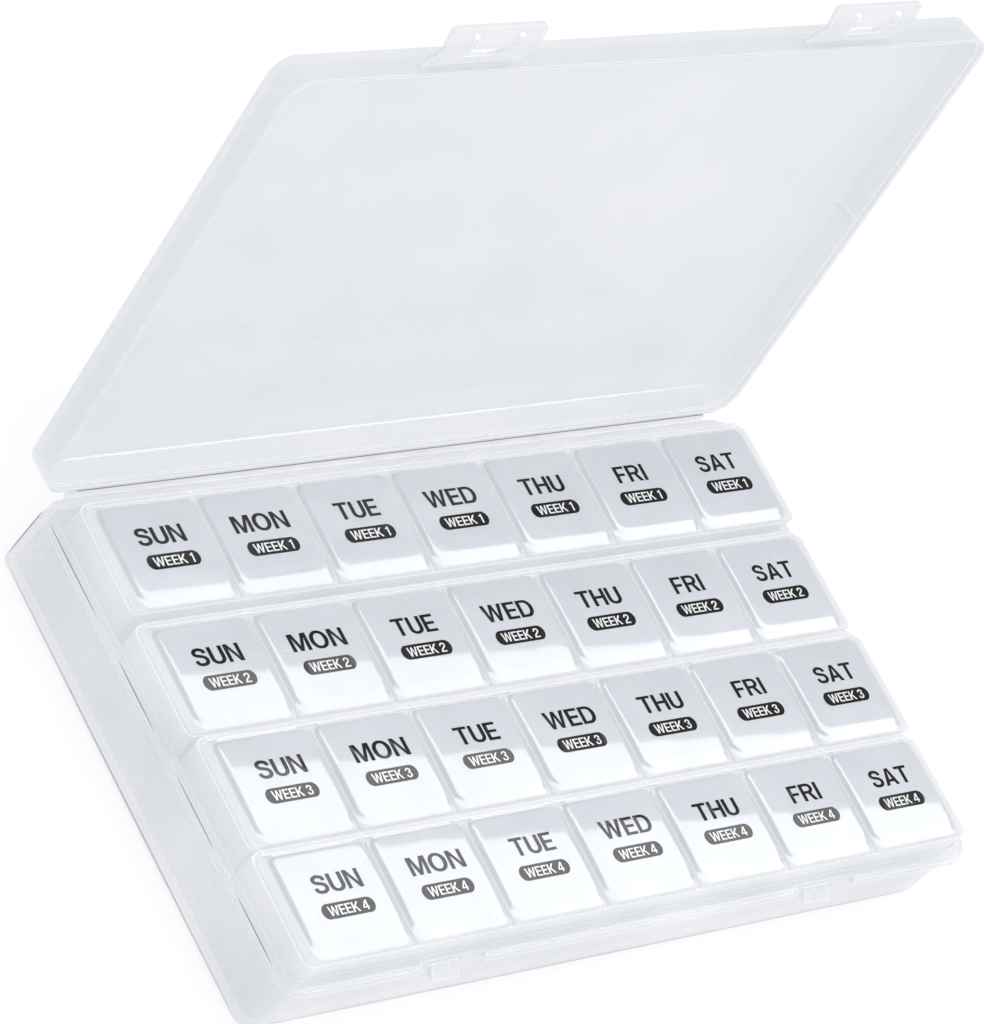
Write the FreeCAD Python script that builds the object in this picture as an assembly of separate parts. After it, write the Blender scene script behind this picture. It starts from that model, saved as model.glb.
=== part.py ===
import FreeCAD, Part
import math
import os

os.makedirs("parts", exist_ok=True)
V = FreeCAD.Vector

# ---------------------------------------------------------------- driving dimensions (mm)
# Frame: origin on the case base's underside, midway between the rim flange's edges, +X from
# SUN to SAT, +Y towards the hinge (WEEK 1 at the back, WEEK 4 at the front), +Z up.
COL_PITCH = 24.0            # day to day, along X
ROW_PITCH = 24.0            # week to week, along Y
BLOCK_Y = -1.0              # the loose trays sit a little towards the front wall
TRAY_AT = ((1.05, 1.05), (-0.2, -0.5), (0.65, -0.3), (0.0, 0.0))   # where each loose tray has come to rest

# case base
BASE_H = 16.4               # underside to rim
WALL = 1.2
FLOOR = 1.4
BASE_BOT = (87.9, -49.3, 50.8)      # outer half length, front and back at the underside
BASE_TOP = (88.15, -50.15, 50.95)   # the same at the rim, under the flange
FLANGE = (89.1, 51.8)       # outer half sizes of the rim flange
FLANGE_T = 1.4
FLANGE_R = 5.4
GAP_W = 15.6                # gaps in the front flange round each catch
GAP_DX = -0.5               # their centres, from the latch's centre
LATCH_X = 48.4              # latch centres, +-X
CATCH_W = 6.6
CATCH_DX = -0.9             # the catches sit a little to the left in the latches' windows
RIB_R = 0.75                # upright locating ribs inside the end walls
RIB_Y = (23.3, -1.4, -25.2)

# cover (modelled closed, then turned open about the hinge line)
HINGE_Y = 52.5
HINGE_Z = 16.45
LID_GAP = 0.06              # cover rim above the hinge line when closed
LID_H = 7.3                 # rim plane to the outer face
LID_T = 1.2
LID_RIM = (89.1, 51.8)
LID_TOP = (88.5, 51.25)
LID_OPEN = 98.5             # degrees open at rest
WEB_HALF_L = 82.5           # hinge web, half length along X

# latches
LATCH_W = 22.6
LATCH_T = 1.15
LATCH_L1 = 6.4              # flat part, from the film
LATCH_L2 = 4.7              # bent finger lip
LATCH_BEND = 30.0
LATCH_OPEN = 67.0           # degrees open at rest
LATCH_Z = 1.9               # film above the cover's rim plane

# week trays
TRAY_HALF_L = 85.6
TRAY_D = 23.5
TRAY_Z0 = 1.5
TRAY_RIM = 20.3             # top of the tray's walls
TRAY_FLOOR = 1.2
TRAY_WALL = 1.1
POCKET_W = 23.0
STRIP_TOP = 21.05           # raised strip along the tray's back, carries the films
STRIP_Y = 10.5              # its front face, from the row's centre line

# compartment lids
DOOR_GAP = 0.5              # between neighbouring lids
DOOR_Z0 = 20.4              # underside
DOOR_BAND = 21.15           # top of the border band
DOOR_TOP = 22.0             # crown of the plateau
DOOR_SAG = 0.25             # how far the plateau's ends lie under its crown
DOOR_BACK = 10.05           # back edge, from the row's centre line
DOOR_FRONT = -11.6          # front lip
PLATEAU_W = 21.2
PLATEAU_SLOPE = 0.9         # width of its sloping sides
PLATEAU_FALL = 2.0          # width of its long front slope
PLATEAU_BACK = 9.7
PLATEAU_FRONT = -9.2
DOOR_PIVOT_Y = 10.27
DOOR_PIVOT_Z = 20.95
FILM_T = 0.2                # hinge films of the lids

WEEKS = (1, 2, 3, 4)
DAYS = ("sun", "mon", "tue", "wed", "thu", "fri", "sat")


def row_y(week):
    return (2.5 - week) * ROW_PITCH + BLOCK_Y + TRAY_AT[week - 1][1]


def row_x(week):
    return TRAY_AT[week - 1][0]


def col_x(i):
    return (i - 3) * COL_PITCH


# ---------------------------------------------------------------- helpers
def rrect(hx, hy, r, z, cx=0.0, cy=0.0, back=None):
    """Closed wire: a rectangle with rounded corners in the plane z. back: radius of the two back corners."""
    rb = r if back is None else back
    k, kb = math.sqrt(0.5) * r, math.sqrt(0.5) * rb
    x0, x1, y0, y1 = cx - hx, cx + hx, cy - hy, cy + hy
    e = []

    def line(a, b):
        e.append(Part.LineSegment(V(*a, z), V(*b, z)).toShape())

    def arc(a, m, b):
        e.append(Part.Arc(V(*a, z), V(*m, z), V(*b, z)).toShape())

    line((x0 + r, y0), (x1 - r, y0))
    arc((x1 - r, y0), (x1 - r + k, y0 + r - k), (x1, y0 + r))
    line((x1, y0 + r), (x1, y1 - rb))
    arc((x1, y1 - rb), (x1 - rb + kb, y1 - rb + kb), (x1 - rb, y1))
    line((x1 - rb, y1), (x0 + rb, y1))
    arc((x0 + rb, y1), (x0 + rb - kb, y1 - rb + kb), (x0, y1 - rb))
    line((x0, y1 - rb), (x0, y0 + r))
    arc((x0, y0 + r), (x0 + r - k, y0 + r - k), (x0 + r, y0))
    return Part.Wire(e)


def loft(*wires):
    return Part.makeLoft(list(wires), True, True)


def box(x0, x1, y0, y1, z0, z1):
    return Part.makeBox(x1 - x0, y1 - y0, z1 - z0, V(x0, y0, z0))


def prism_yz(points, x0, x1):
    """Polygon of (y, z) points drawn along X."""
    w = Part.makePolygon([V(x0, y, z) for y, z in points + points[:1]])
    return Part.Face(w).extrude(V(x1 - x0, 0, 0))


def prism_xz(points, y0, y1):
    w = Part.makePolygon([V(x, y0, z) for x, z in points + points[:1]])
    return Part.Face(w).extrude(V(0, y1 - y0, 0))


def fillet(shape, r, pick):
    """Rounds the edges that pick() accepts, and leaves the shape as it was if that fails."""
    edges = [e for e in shape.Edges if pick(e)]
    if not edges:
        return shape
    try:
        out = shape.makeFillet(r, edges)
        if out.isValid() and out.Volume > 0 and len(out.Solids) == len(shape.Solids):
            return out
    except Exception as err:
        print("fillet left out", r, err)
    return shape


def flat_at(z, tol=1e-4):
    return lambda e: abs(e.BoundBox.ZMin - z) < tol and abs(e.BoundBox.ZMax - z) < tol


def turned(shape, degrees):
    """Opened about the cover's hinge line."""
    s = shape.copy()
    s.rotate(V(0, HINGE_Y, HINGE_Z), V(-1, 0, 0), degrees)
    return s


nodes = {}


def keep(name, shape):
    shape = shape.removeSplitter() if len(shape.Solids) == 1 else shape
    assert shape.isValid(), name
    solids = shape.Solids
    out = solids[0] if len(solids) == 1 else Part.makeCompound(solids)
    nodes[name] = out


# ---------------------------------------------------------------- case base
def plan(spec, inset, r, z, back=None):
    """Outline from a half length, a front and a back, moved in by inset."""
    hx, y0, y1 = spec
    return rrect(hx - inset, (y1 - y0) / 2 - inset, r, z, 0, (y0 + y1) / 2, back)


outer = loft(plan(BASE_BOT, 0, 3.2, 0.0, 1.3), plan(BASE_TOP, 0, 3.4, BASE_H, 1.6))
outer = fillet(outer, 0.8, flat_at(0.0))
flange = Part.Face(rrect(*FLANGE, FLANGE_R, BASE_H - FLANGE_T)).extrude(V(0, 0, FLANGE_T))
flange = fillet(flange, 0.35, flat_at(BASE_H))
for s in (-1, 1):
    x = s * LATCH_X + GAP_DX
    flange = flange.cut(box(x - GAP_W / 2, x + GAP_W / 2, -60, BASE_TOP[1] + 0.03, 0, 30))
base = outer.fuse(flange)
inner = loft(plan(BASE_BOT, WALL, 2.1, FLOOR, 1.1), plan(BASE_TOP, WALL, 2.3, BASE_H + 0.001, 1.3))
inner = fillet(inner, 0.8, flat_at(FLOOR))
base = base.cut(inner)
# upright half-round ribs on the end walls, between one tray and the next
for s in (-1, 1):
    for y in RIB_Y:
        x = s * (BASE_TOP[0] - WALL - 0.02)
        rib = Part.makeCylinder(RIB_R, BASE_H - 2.0 - FLOOR + 0.3, V(x, y, FLOOR - 0.3))
        clip = box(x - 0.9, x + 0.9, -60, 60, 0, 30)
        base = base.fuse(rib.common(clip))
# wedge catches on the front wall
wall_y = BASE_TOP[1]
for s in (-1, 1):
    x = s * LATCH_X + CATCH_DX
    z = BASE_H
    wedge = prism_yz(
        [(wall_y + 0.5, z - 1.85), (wall_y, z - 2.0), (wall_y - 2.35, z - 3.55), (wall_y - 2.35, z - 4.15), (wall_y + 0.5, z - 4.15)],
        x - CATCH_W / 2,
        x + CATCH_W / 2,
    )
    base = base.fuse(wedge)
keep("case_base", base)

# ---------------------------------------------------------------- cover, in its closed place
Z0 = HINGE_Z + LID_GAP
ZT = Z0 + LID_H
shell = loft(rrect(*LID_RIM, FLANGE_R, Z0), rrect(*LID_TOP, 4.9, ZT))
shell = fillet(shell, 0.9, flat_at(ZT))
hollow = loft(
    rrect(LID_RIM[0] - LID_T - 0.1, LID_RIM[1] - LID_T - 0.1, 4.1, Z0 - 0.001),
    rrect(LID_TOP[0] - LID_T, LID_TOP[1] - LID_T, 3.7, ZT - LID_T),
)
hollow = fillet(hollow, 0.45, flat_at(ZT - LID_T))
cover = shell.cut(hollow)
# stepped lip along the inside of the rim
step = loft(
    rrect(LID_RIM[0] - 0.75, LID_RIM[1] - 0.75, 4.7, Z0 - 0.001),
    rrect(LID_RIM[0] - 0.80, LID_RIM[1] - 0.80, 4.65, Z0 + 0.9),
)
cover = cover.cut(step)
# small gussets in the corner of the front wall and the panel, beside each latch
zi = ZT - LID_T
yi = -(LID_TOP[1] - LID_T)
for s in (-1, 1):
    for d in (-12.9, 12.9):
        x = s * LATCH_X + d
        gusset = prism_yz(
            [(yi - 0.3, zi + 0.3), (yi - 0.3, zi - 1.6), (yi + 0.05, zi - 1.6), (yi + 1.7, zi - 0.02), (yi + 1.7, zi + 0.3)],
            x - 0.6,
            x + 0.6,
        )
        cover = cover.fuse(gusset)
# one upright rib in the middle of each end wall, with a short foot on the panel
ym = HINGE_Y - 54.5
for s in (-1, 1):
    xi = LID_TOP[0] - LID_T
    rib = prism_xz(
        [(s * (xi + 0.4), zi + 0.3), (s * (xi + 0.55), Z0 + 1.3), (s * (xi - 0.1), Z0 + 1.5), (s * (xi - 0.75), zi - 0.55), (s * (xi - 2.5), zi - 0.45), (s * (xi - 2.5), zi + 0.3)],
        ym - 0.45,
        ym + 0.45,
    )
    cover = cover.fuse(rib)
keep("case_lid", turned(cover, LID_OPEN))

# hinge web: its base half, a thin strip on the back of the rim flange
web = box(-WEB_HALF_L, WEB_HALF_L, FLANGE[1], FLANGE[1] + 0.5, BASE_H - 0.75, BASE_H - 0.35)
keep("case_hinge_web", web)

# ---------------------------------------------------------------- latches
LY = -LID_RIM[1] - 0.22          # inner face of the closed latch
LZ = Z0 + LATCH_Z                # its film's height
PIVOT_L = (LY - LATCH_T / 2, LZ)
for side, s in (("left", -1), ("right", 1)):
    x = s * LATCH_X
    z1 = LZ - 0.25
    z2 = z1 - LATCH_L1
    a = math.radians(LATCH_BEND)
    ya, yb = LY, LY - LATCH_T
    h = LATCH_T * math.tan(a / 2)
    pts = [
        (ya, z1),
        (ya, z2 + 0.0),
        (ya - LATCH_L2 * math.sin(a), z2 - LATCH_L2 * math.cos(a)),
        (ya - LATCH_L2 * math.sin(a) - LATCH_T * math.cos(a), z2 - LATCH_L2 * math.cos(a) + LATCH_T * math.sin(a)),
        (yb, z2 + h),
        (yb, z1),
    ]
    flap = prism_yz(pts, x - LATCH_W / 2, x + LATCH_W / 2)
    flap = fillet(
        flap,
        1.0,
        lambda e: e.Length < 2.0 and e.BoundBox.ZMax < z2 - 2.0 and e.BoundBox.XLength < 1e-6,
    )
    window = box(x - 4.35, x + 4.35, yb - 1, ya + 1, z2 + 0.1, z2 + 3.45)
    window = fillet(window, 0.5, lambda e: e.BoundBox.YLength > 2)
    flap = flap.cut(window)
    # two stiffening ribs on the finger lip's inner face, either side of the window
    n = V(0, math.cos(a), -math.sin(a))
    t = V(0, -math.sin(a), -math.cos(a))
    p = V(0, ya, z2)
    for d in (-5.4, 5.4):
        q = [p + t * 0.15 - n * 0.2, p + t * 0.45 + n * 0.55, p + t * 2.7 + n * 0.55, p + t * 3.2 - n * 0.2]
        flap = flap.fuse(prism_yz([(v.y, v.z) for v in q], x + d - 0.55, x + d + 0.55))
    flap.rotate(V(0, *PIVOT_L), V(-1, 0, 0), LATCH_OPEN)
    keep("latch_" + side, turned(flap, LID_OPEN))
    # film between the cover's front wall and the flap
    film = box(x - LATCH_W / 2 + 0.3, x + LATCH_W / 2 - 0.3, LY - 0.05, -LID_RIM[1] + 0.16, LZ - 0.15, LZ + 0.15)
    film = film.cut(shell)
    keep("latch_" + side + "_film", turned(film, LID_OPEN))

# ---------------------------------------------------------------- week trays
def tray_shape(yc):
    hy = TRAY_D / 2
    body = loft(
        rrect(TRAY_HALF_L - 0.6, hy - 0.75, 1.7, TRAY_Z0, 0, yc),
        rrect(TRAY_HALF_L, hy, 2.0, TRAY_RIM, 0, yc),
    )
    body = fillet(body, 0.7, flat_at(TRAY_Z0))
    strip = box(-TRAY_HALF_L + 2.0, TRAY_HALF_L - 2.0, yc + STRIP_Y, yc + hy, TRAY_RIM - 0.4, STRIP_TOP)
    strip = fillet(strip, 0.25, lambda e: abs(e.BoundBox.ZMin - STRIP_TOP) < 1e-4 and e.BoundBox.YMax > yc + hy - 0.01)
    body = body.fuse(strip)
    for i in range(7):
        cx = col_x(i)
        x0, x1 = cx - POCKET_W / 2, cx + POCKET_W / 2
        if i == 0:
            x0 = -TRAY_HALF_L + TRAY_WALL
        if i == 6:
            x1 = TRAY_HALF_L - TRAY_WALL
        mx, hx = (x0 + x1) / 2, (x1 - x0) / 2
        py0, py1 = -hy + TRAY_WALL, STRIP_Y - 0.05
        my, hyp = yc + (py0 + py1) / 2, (py1 - py0) / 2
        pocket = loft(
            rrect(hx - 0.45, hyp - 0.7, 1.6, TRAY_Z0 + TRAY_FLOOR, mx, my),
            rrect(hx, hyp, 1.6, TRAY_RIM + 0.001, mx, my),
        )
        pocket = fillet(pocket, 1.4, flat_at(TRAY_Z0 + TRAY_FLOOR))
        body = body.cut(pocket)
    # little posts between the lids at the hinge line
    for k in range(6):
        x = -2.5 * COL_PITCH + k * COL_PITCH
        body = body.fuse(box(x - 0.17, x + 0.17, yc + STRIP_Y, yc + STRIP_Y + 0.8, STRIP_TOP - 0.2, STRIP_TOP + 0.3))
    return body


# ---------------------------------------------------------------- compartment lids
def rounded_profile(u0, u1, w0, w1, low0, low1, high, plane, at):
    """Face of a flat bar's section, u0..u1 wide and w0..w1 high, with rounded edges: radius high on
    the upper corners (a pair), low0 and low1 on the lower ones. plane is "yz" or "xz"."""
    r0, r1 = high
    P = (lambda u, w: V(at, u, w)) if plane == "yz" else (lambda u, w: V(u, at, w))
    c = math.sqrt(0.5)
    e = []

    def seg(a, b):
        if math.dist(a, b) > 1e-6:
            e.append(Part.LineSegment(P(*a), P(*b)).toShape())

    def arc(a, m, b):
        e.append(Part.Arc(P(*a), P(*m), P(*b)).toShape())

    seg((u0 + low0, w0), (u1 - low1, w0))
    if low1:
        arc((u1 - low1, w0), (u1 - low1 + c * low1, w0 + low1 - c * low1), (u1, w0 + low1))
    seg((u1, w0 + low1), (u1, w1 - r1))
    arc((u1, w1 - r1), (u1 - r1 + c * r1, w1 - r1 + c * r1), (u1 - r1, w1))
    seg((u1 - r1, w1), (u0 + r0, w1))
    arc((u0 + r0, w1), (u0 + r0 - c * r0, w1 - r0 + c * r0), (u0, w1 - r0))
    seg((u0, w1 - r0), (u0, w0 + low0))
    if low0:
        arc((u0, w0 + low0), (u0 + low0 - c * low0, w0 + low0 - c * low0), (u0 + low0, w0))
    return Part.Face(Part.Wire(e))


def door_shape(i):
    """A lid of column i, about the row's centre line."""
    cx = col_x(i)
    x0, x1 = cx - (COL_PITCH - DOOR_GAP) / 2, cx + (COL_PITCH - DOOR_GAP) / 2
    if i == 0:
        x0 = -TRAY_HALF_L + 0.2
    if i == 6:
        x1 = TRAY_HALF_L - 0.2
    yb, yf = DOOR_BACK, DOOR_FRONT
    mx, hx = (x0 + x1) / 2, (x1 - x0) / 2
    my, hy = (yb + yf) / 2, (yb - yf) / 2
    slab = Part.Face(rrect(hx, hy, 0.9, DOOR_Z0, mx, my)).extrude(V(0, 0, DOOR_BAND - DOOR_Z0))
    lip = (DOOR_BAND - DOOR_Z0) / 2 - 0.005
    side = rounded_profile(yf, yb, DOOR_Z0, DOOR_BAND, lip, 0, (lip, 0.15), "yz", x0 - 1)
    slab = slab.common(side.extrude(V(x1 - x0 + 2, 0, 0)))
    ends = rounded_profile(x0, x1, DOOR_Z0, DOOR_BAND, 0, 0, (0.22, 0.22), "xz", yf - 1)
    slab = slab.common(ends.extrude(V(0, yb - yf + 2, 0)))
    # the plateau: sloping sides under a shallow front-to-back arch
    pm, ph = (PLATEAU_FRONT + PLATEAU_BACK) / 2, (PLATEAU_BACK - PLATEAU_FRONT) / 2
    rise = DOOR_TOP - DOOR_SAG - DOOR_BAND
    over, under = 0.6, 0.05
    sx, sb, sf = PLATEAU_SLOPE / rise, 0.12 / rise, PLATEAU_FALL / rise

    def outline(z):
        d = DOOR_TOP - DOOR_SAG - z      # below the plateau's edge
        y0, y1 = PLATEAU_FRONT - sf * d, PLATEAU_BACK + sb * d
        return rrect(PLATEAU_W / 2 + sx * d, (y1 - y0) / 2, 1.45 + 0.25 * d, z, cx, (y0 + y1) / 2)

    raised = loft(outline(DOOR_BAND - under), outline(DOOR_TOP + over))
    R = (ph ** 2 + DOOR_SAG ** 2) / (2 * DOOR_SAG)
    drum = Part.makeCylinder(R, 60, V(cx - 30, pm, DOOR_TOP - R), V(1, 0, 0))
    raised = raised.common(drum)
    door = slab.fuse(raised)
    # underside: a shallow recess leaves an even wall
    recess = loft(
        rrect(hx - 1.7, hy - 1.9, 1.0, DOOR_Z0 - 0.001, mx, my),
        rrect(hx - 2.0, hy - 2.2, 1.0, DOOR_Z0 + 0.55, mx, my),
    )
    return door.cut(recess)


def moved(shape, x, y):
    s = shape.copy()
    s.translate(V(x, y, 0))
    return s


tray = tray_shape(0.0)
first, middle, last = door_shape(0), door_shape(3), door_shape(6)
films = [
    box(col_x(i) - 9.5, col_x(i) + 9.5, DOOR_BACK + 0.03, STRIP_Y, DOOR_PIVOT_Z - FILM_T / 2, DOOR_PIVOT_Z + FILM_T / 2)
    for i in range(7)
]
for w in WEEKS:
    yc = row_y(w)
    xc = row_x(w)
    keep("week_%d_tray" % w, moved(tray, xc, yc))
    for i, day in enumerate(DAYS):
        door = first if i == 0 else last if i == 6 else moved(middle, col_x(i), 0)
        keep("week_%d_%s_lid" % (w, day), moved(door, xc, yc))
    keep("week_%d_hinge_films" % w, moved(Part.makeCompound(films), xc, yc))

for name, shape in nodes.items():
    shape.exportStep("parts/%s.step" % name)
    b = shape.optimalBoundingBox()
    print("%-22s %d solid(s) %8.0f mm3  x %.2f..%.2f  y %.2f..%.2f  z %.2f..%.2f" % (
        name, len(shape.Solids), shape.Volume, b.XMin, b.XMax, b.YMin, b.YMax, b.ZMin, b.ZMax))


def pose_point(y, z, degrees):
    """Where a point of the closed cover lies when it is open."""
    a = math.radians(degrees)
    dy, dz = y - HINGE_Y, z - HINGE_Z
    return (HINGE_Y + dy * math.cos(a) + dz * math.sin(a), HINGE_Z - dy * math.sin(a) + dz * math.cos(a))


print("latch pivot at rest", pose_point(*PIVOT_L, LID_OPEN))
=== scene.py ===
import bpy
import bmesh
import math
import random
from mathutils import Matrix, Vector


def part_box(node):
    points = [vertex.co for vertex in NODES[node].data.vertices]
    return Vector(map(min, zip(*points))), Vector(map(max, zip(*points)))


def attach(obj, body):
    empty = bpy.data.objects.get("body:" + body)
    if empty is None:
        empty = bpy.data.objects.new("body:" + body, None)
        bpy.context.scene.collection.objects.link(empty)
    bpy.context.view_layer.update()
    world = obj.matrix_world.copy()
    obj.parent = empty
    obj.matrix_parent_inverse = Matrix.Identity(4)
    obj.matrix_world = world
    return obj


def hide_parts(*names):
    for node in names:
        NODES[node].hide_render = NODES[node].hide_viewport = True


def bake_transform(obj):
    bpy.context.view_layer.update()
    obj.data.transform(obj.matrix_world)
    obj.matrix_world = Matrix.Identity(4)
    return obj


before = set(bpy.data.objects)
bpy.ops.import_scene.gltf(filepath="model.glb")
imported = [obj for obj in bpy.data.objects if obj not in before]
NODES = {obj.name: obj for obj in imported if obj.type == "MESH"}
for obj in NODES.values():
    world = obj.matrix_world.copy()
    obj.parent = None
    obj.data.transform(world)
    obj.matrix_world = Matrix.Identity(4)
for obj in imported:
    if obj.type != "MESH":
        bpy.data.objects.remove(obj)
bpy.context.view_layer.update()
MM = 0.001

# ---------------------------------------------------------------- sizes shared with the frame (mm)
COL_PITCH, ROW_PITCH, BLOCK_Y = 24.0, 24.0, -1.0
TRAY_HALF_L, TRAY_D = 85.6, 23.5
DOOR_GAP, DOOR_Z0, DOOR_BAND, DOOR_TOP, DOOR_SAG = 0.5, 20.4, 21.15, 22.0, 0.25
DOOR_BACK, DOOR_FRONT = 10.05, -11.6
PLATEAU_W, PLATEAU_BACK, PLATEAU_FRONT = 21.2, 9.7, -9.2
PLATEAU_SLOPE, PLATEAU_FALL = 0.9, 2.0
TRAY_AT = ((1.05, 1.05), (-0.2, -0.5), (0.65, -0.3), (0.0, 0.0))
DOOR_PIVOT_Y, DOOR_PIVOT_Z = 10.27, 20.95
STRIP_Y, STRIP_TOP = 10.5, 21.05
WEEKS = (1, 2, 3, 4)
DAYS = ("sun", "mon", "tue", "wed", "thu", "fri", "sat")
HINGE_Y, HINGE_Z, LID_OPEN = 52.5, 16.45, 98.5


def row_y(week):
    return (2.5 - week) * ROW_PITCH + BLOCK_Y + TRAY_AT[week - 1][1]


def row_x(week):
    return TRAY_AT[week - 1][0]


def col_x(i):
    return (i - 3) * COL_PITCH


# ---------------------------------------------------------------- materials
class Nodes:
    """Small helper that builds a node tree in order."""

    def __init__(self, name):
        self.mat = bpy.data.materials.new(name)
        self.mat.use_nodes = True
        self.tree = self.mat.node_tree
        self.tree.nodes.clear()

    def add(self, kind, **props):
        n = self.tree.nodes.new(kind)
        for k, v in props.items():
            if k in n.inputs:
                n.inputs[k].default_value = v
            else:
                setattr(n, k, v)
        return n

    def link(self, a, b):
        self.tree.links.new(a, b)


def ramp(n, stops):
    cr = n.color_ramp
    while len(cr.elements) < len(stops):
        cr.elements.new(0.5)
    for e, (p, c) in zip(cr.elements, stops):
        e.position = p
        e.color = (c[0], c[1], c[2], 1.0) if hasattr(c, "__len__") else (c, c, c, 1.0)
    return n


def plastic(name, low, high, facing, edge, rough=0.3, coat_rough=0.04, mottle=55.0, wave=0.3, wave_scale=38.0,
            grain=0.0, ior=1.49, painted_glow=0.4, rim=0.0, rim_width=0.4, gloss=1.0, edge_highlight_color=(0.965, 0.97, 0.98)):
    """Natural polypropylene: a cloudy body under a smooth moulded skin. A share of its brightness is painted
    on as emission, so it glows as if lit from inside with no lamp there; rim paints a highlight along its edges."""
    m = Nodes(name)
    out = m.add("ShaderNodeOutputMaterial")
    b = m.add("ShaderNodeBsdfPrincipled")
    co = m.add("ShaderNodeTexCoord")
    cloud = m.add("ShaderNodeTexNoise", Scale=mottle, Detail=4.0, Roughness=0.55)
    m.link(co.outputs["Object"], cloud.inputs["Vector"])
    tint = ramp(m.add("ShaderNodeValToRGB"), [(0.34, low), (0.68, high)])
    m.link(cloud.outputs["Fac"], tint.inputs["Fac"])
    body = tint.outputs["Color"]
    edge_highlight_mask = None
    if rim > 0.0:
        # painted highlight: the edges' colour is mixed towards near-white and made more opaque, standing in for light
        # gathering along the edges of a clear moulding
        bev = m.add("ShaderNodeBevel", samples=4)
        bev.inputs["Radius"].default_value = rim_width * 0.001
        geo = m.add("ShaderNodeNewGeometry")
        dot = m.add("ShaderNodeVectorMath", operation="DOT_PRODUCT")
        m.link(bev.outputs["Normal"], dot.inputs[0])
        m.link(geo.outputs["Normal"], dot.inputs[1])
        em = m.add("ShaderNodeMapRange")
        em.inputs["From Min"].default_value = 0.995
        em.inputs["From Max"].default_value = 0.82
        em.inputs["To Min"].default_value = 0.0
        em.inputs["To Max"].default_value = rim
        m.link(dot.outputs["Value"], em.inputs["Value"])
        edge_highlight_mask = em.outputs["Result"]
        lit = m.add("ShaderNodeMix", data_type="RGBA")
        m.link(edge_highlight_mask, lit.inputs[0])
        m.link(body, lit.inputs[6])
        lit.inputs[7].default_value = (edge_highlight_color[0], edge_highlight_color[1], edge_highlight_color[2], 1.0)
        body = lit.outputs[2]
    # painted light: the base colour is dimmed by that share and the body colour is given back as emission, so the
    # plastic glows with no lamp behind it
    dim = m.add("ShaderNodeMix", data_type="RGBA", blend_type="MULTIPLY")
    dim.inputs[0].default_value = 1.0
    m.link(body, dim.inputs[6])
    dim.inputs[7].default_value = (1.0 - painted_glow, 1.0 - painted_glow, 1.0 - painted_glow, 1.0)
    m.link(dim.outputs[2], b.inputs["Base Color"])
    m.link(body, b.inputs["Emission Color"])
    b.inputs["Emission Strength"].default_value = painted_glow
    smear = m.add("ShaderNodeTexNoise", Scale=mottle * 3.1, Detail=5.0, Roughness=0.6)
    m.link(co.outputs["Object"], smear.inputs["Vector"])
    rr = m.add("ShaderNodeMapRange")
    rr.inputs["From Min"].default_value = 0.3
    rr.inputs["From Max"].default_value = 0.7
    rr.inputs["To Min"].default_value = rough * 0.9
    rr.inputs["To Max"].default_value = rough * 1.1
    m.link(smear.outputs["Fac"], rr.inputs["Value"])
    m.link(rr.outputs["Result"], b.inputs["Roughness"])
    swell = m.add("ShaderNodeTexNoise", Scale=wave_scale, Detail=1.0, Roughness=0.4)
    m.link(co.outputs["Object"], swell.inputs["Vector"])
    bump = m.add("ShaderNodeBump", Strength=wave, Distance=0.0004)
    m.link(swell.outputs["Fac"], bump.inputs["Height"])
    fine = m.add("ShaderNodeTexNoise", Scale=900.0, Detail=2.0, Roughness=0.5)
    m.link(co.outputs["Object"], fine.inputs["Vector"])
    bump2 = m.add("ShaderNodeBump", Strength=grain, Distance=0.00005)
    m.link(fine.outputs["Fac"], bump2.inputs["Height"])
    m.link(bump.outputs["Normal"], bump2.inputs["Normal"])
    m.link(bump2.outputs["Normal"], b.inputs["Normal"])
    m.link(bump2.outputs["Normal"], b.inputs["Coat Normal"])
    b.inputs["IOR"].default_value = ior
    # cloudier where the light runs further through the wall
    lw = m.add("ShaderNodeLayerWeight", Blend=0.5)
    pw = m.add("ShaderNodeMath", operation="POWER")
    pw.inputs[1].default_value = 2.2
    m.link(lw.outputs["Facing"], pw.inputs[0])
    al = m.add("ShaderNodeMapRange")
    al.inputs["To Min"].default_value = facing
    al.inputs["To Max"].default_value = edge
    m.link(pw.outputs[0], al.inputs["Value"])
    solid = al.outputs["Result"]
    # painted highlight: the edges are also made nearly opaque so their painted brightness shows
    if edge_highlight_mask is not None:
        am = m.add("ShaderNodeMix", data_type="FLOAT")
        m.link(edge_highlight_mask, am.inputs[0])
        m.link(solid, am.inputs[2])
        am.inputs[3].default_value = 0.93
        solid = am.outputs[0]
    m.link(solid, b.inputs["Alpha"])
    b.inputs["Coat Weight"].default_value = gloss
    b.inputs["Coat Roughness"].default_value = coat_rough
    b.inputs["Coat IOR"].default_value = 1.5
    b.inputs["Specular IOR Level"].default_value = 0.35 * gloss
    m.link(b.outputs["BSDF"], out.inputs["Surface"])
    return m.mat


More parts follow.
